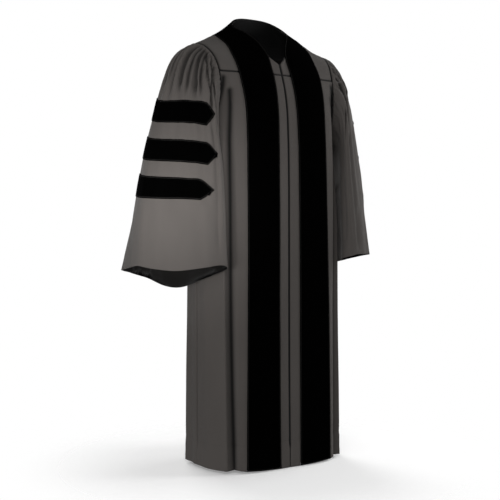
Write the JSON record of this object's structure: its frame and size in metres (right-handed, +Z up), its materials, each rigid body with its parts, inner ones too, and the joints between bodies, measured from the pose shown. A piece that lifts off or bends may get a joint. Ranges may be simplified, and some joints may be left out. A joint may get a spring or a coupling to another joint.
{
  "type": "doctoral gown",
  "caption": "Long open-necked academic robe with velvet front bands, a shoulder yoke, gathered bell sleeves and velvet sleeve bars, filled out as worn",
  "frame": {"origin": "On the garment's centre line, level with the wearer's shoulders, where the shoulders hold the gown up", "axes": "+X is the wearer's left, -Y is the front, +Z is up"},
  "size_m": [0.8722, 0.3529, 1.4008],
  "materials": {
    "gown_cloth": "matt twill cloth",
    "velvet": "black velvet pile",
    "neck_satin": "black lining satin",
    "zip_tape": "woven tape"
  },
  "bodies": {
    "root": {"back": "gown_cloth", "front_left": "gown_cloth", "front_right": "gown_cloth", "yoke": "gown_cloth", "sleeve_left": "gown_cloth", "sleeve_right": "gown_cloth", "velvet_left": "velvet", "velvet_right": "velvet", "bar_left_1": "velvet", "bar_left_2": "velvet", "bar_left_3": "velvet", "bar_right_1": "velvet", "bar_right_2": "velvet", "bar_right_3": "velvet", "neck_lining": "neck_satin", "zip_tape": "zip_tape"}
  },
  "joints": []
}
